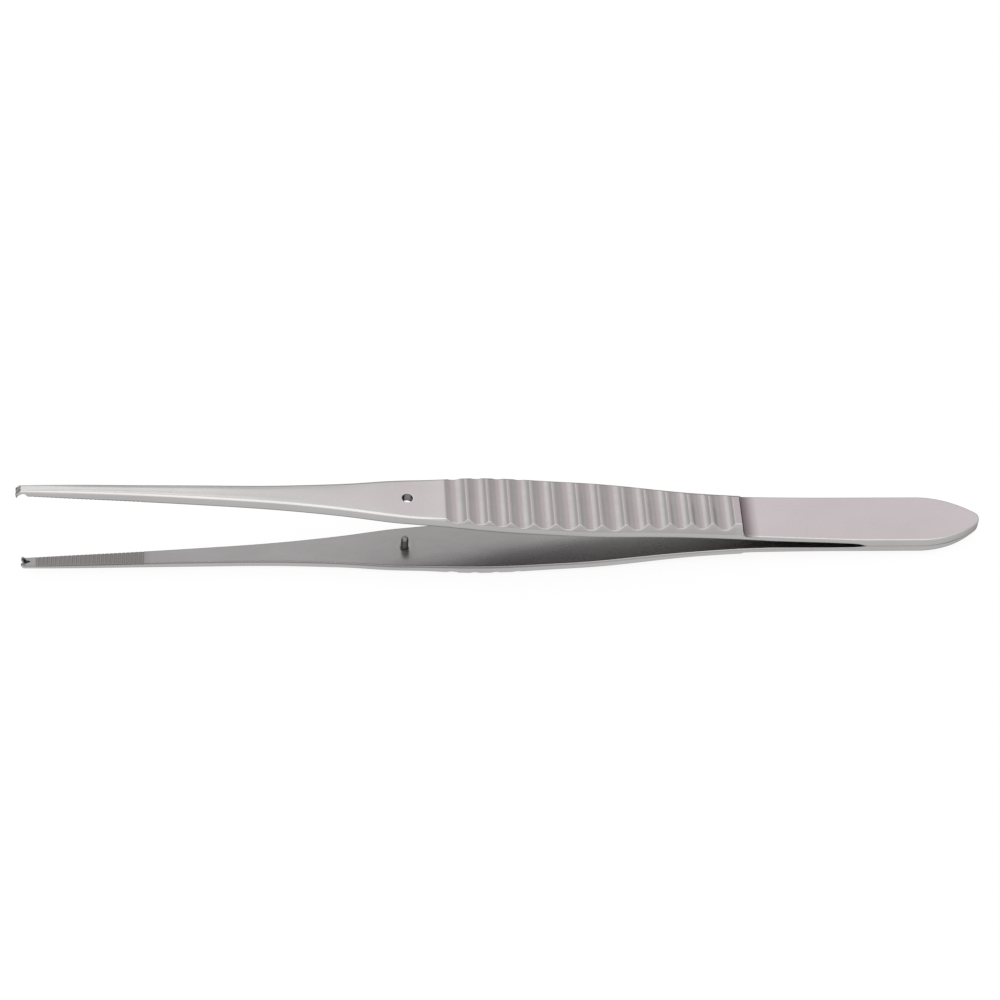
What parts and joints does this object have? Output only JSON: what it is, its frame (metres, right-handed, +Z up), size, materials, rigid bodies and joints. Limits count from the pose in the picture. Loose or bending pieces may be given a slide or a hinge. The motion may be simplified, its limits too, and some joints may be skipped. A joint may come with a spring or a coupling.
{
  "type": "thumb forceps",
  "caption": "Thumb forceps: spring blades joined flat at the tail, with fluted finger grips, a guide pin and hole, and serrated jaws that end in interlocking teeth.",
  "frame": {"origin": "on the ground below the middle of the forceps as they lie on the outer side of the lower blade", "axes": "+X from the tips towards the tail, +Y across the width of the blades, +Z up, from the lower blade towards the upper one"},
  "size_m": [0.1504, 0.01, 0.0201],
  "materials": {
    "satin_steel": "satin",
    "pin_steel": "turned"
  },
  "bodies": {
    "root": {"upper_blade": "satin_steel", "lower_blade": "satin_steel", "guide_pin": "pin_steel"}
  },
  "joints": []
}
